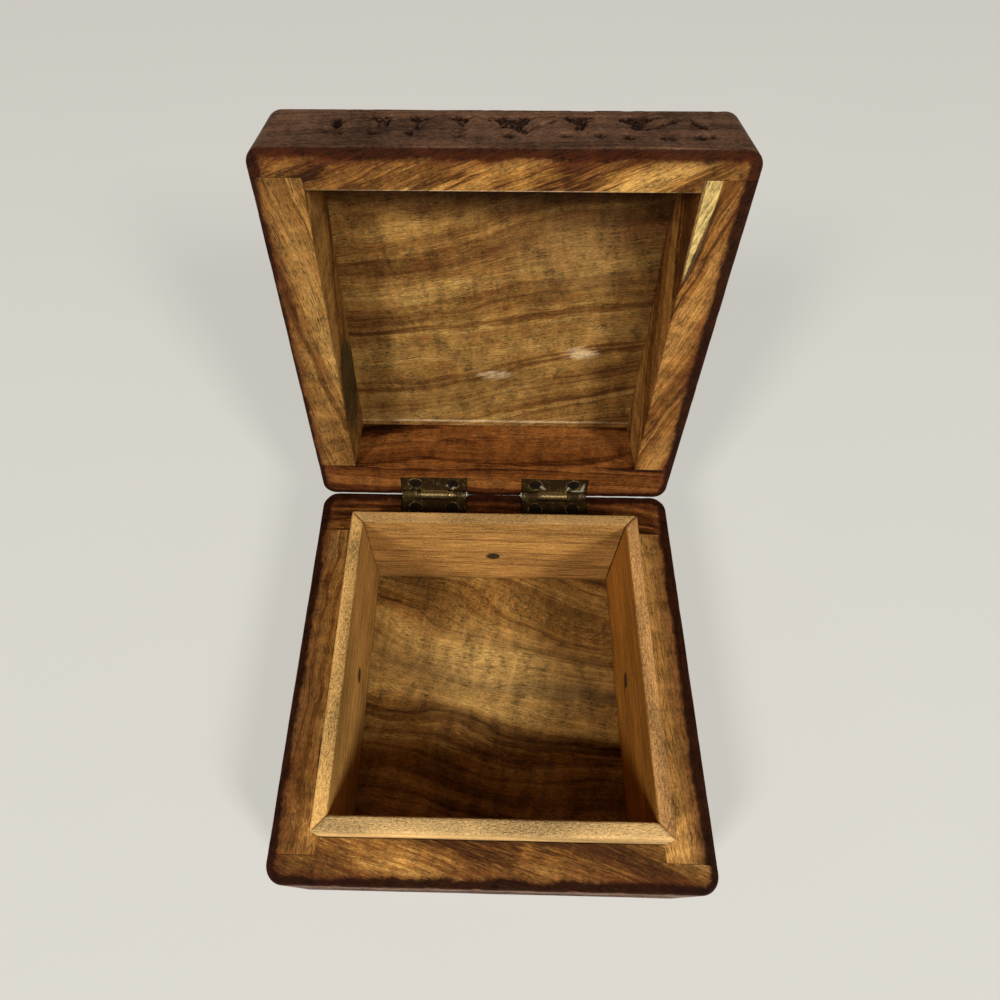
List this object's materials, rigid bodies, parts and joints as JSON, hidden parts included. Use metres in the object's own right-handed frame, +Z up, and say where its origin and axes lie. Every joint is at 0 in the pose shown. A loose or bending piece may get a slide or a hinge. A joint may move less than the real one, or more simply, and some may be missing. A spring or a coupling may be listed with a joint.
{
  "type": "trinket box",
  "caption": "Small square wooden keepsake box with a hinged lid, a pale mitred lining that rises past the rim, and carved outer faces.",
  "frame": {"origin": "middle of the underside of the base, on the surface that it stands on", "axes": "+X to the right, +Y towards the hinged back, +Z up"},
  "size_m": [0.1016, 0.1407, 0.1306],
  "materials": {
    "board_wood": "oiled and stained hardwood, dark at the outer edges, satin",
    "panel_wood": "oiled hardwood with streaky grain, satin",
    "lining_wood": "plain pale softwood, unstained, satin",
    "hinge_brass": "tarnished brass",
    "screw_brass": "darkened brass",
    "nail_steel": "dull dark steel"
  },
  "bodies": {
    "base": {"base_front_board": "board_wood", "base_back_board": "board_wood", "base_left_board": "board_wood", "base_right_board": "board_wood", "base_floor": "panel_wood", "lining_front": "lining_wood", "lining_back": "lining_wood", "lining_left": "lining_wood", "lining_right": "lining_wood", "lining_nails": "nail_steel", "left_hinge_base_leaf": "hinge_brass", "left_hinge_pin": "hinge_brass", "right_hinge_base_leaf": "hinge_brass", "right_hinge_pin": "hinge_brass", "base_hinge_screws": "screw_brass"},
    "lid": {"lid_front_board": "board_wood", "lid_back_board": "board_wood", "lid_left_board": "board_wood", "lid_right_board": "board_wood", "lid_top_panel": "panel_wood", "left_hinge_lid_leaf": "hinge_brass", "right_hinge_lid_leaf": "hinge_brass", "lid_hinge_screws": "screw_brass"}
  },
  "joints": [
    {"name": "lid_hinge", "type": "hinge", "parent": "base", "child": "lid", "pos_m": [0, 0.0504, 0.03125], "axis": [1, 0, 0], "range_deg": [0, 100.5]}
  ]
}
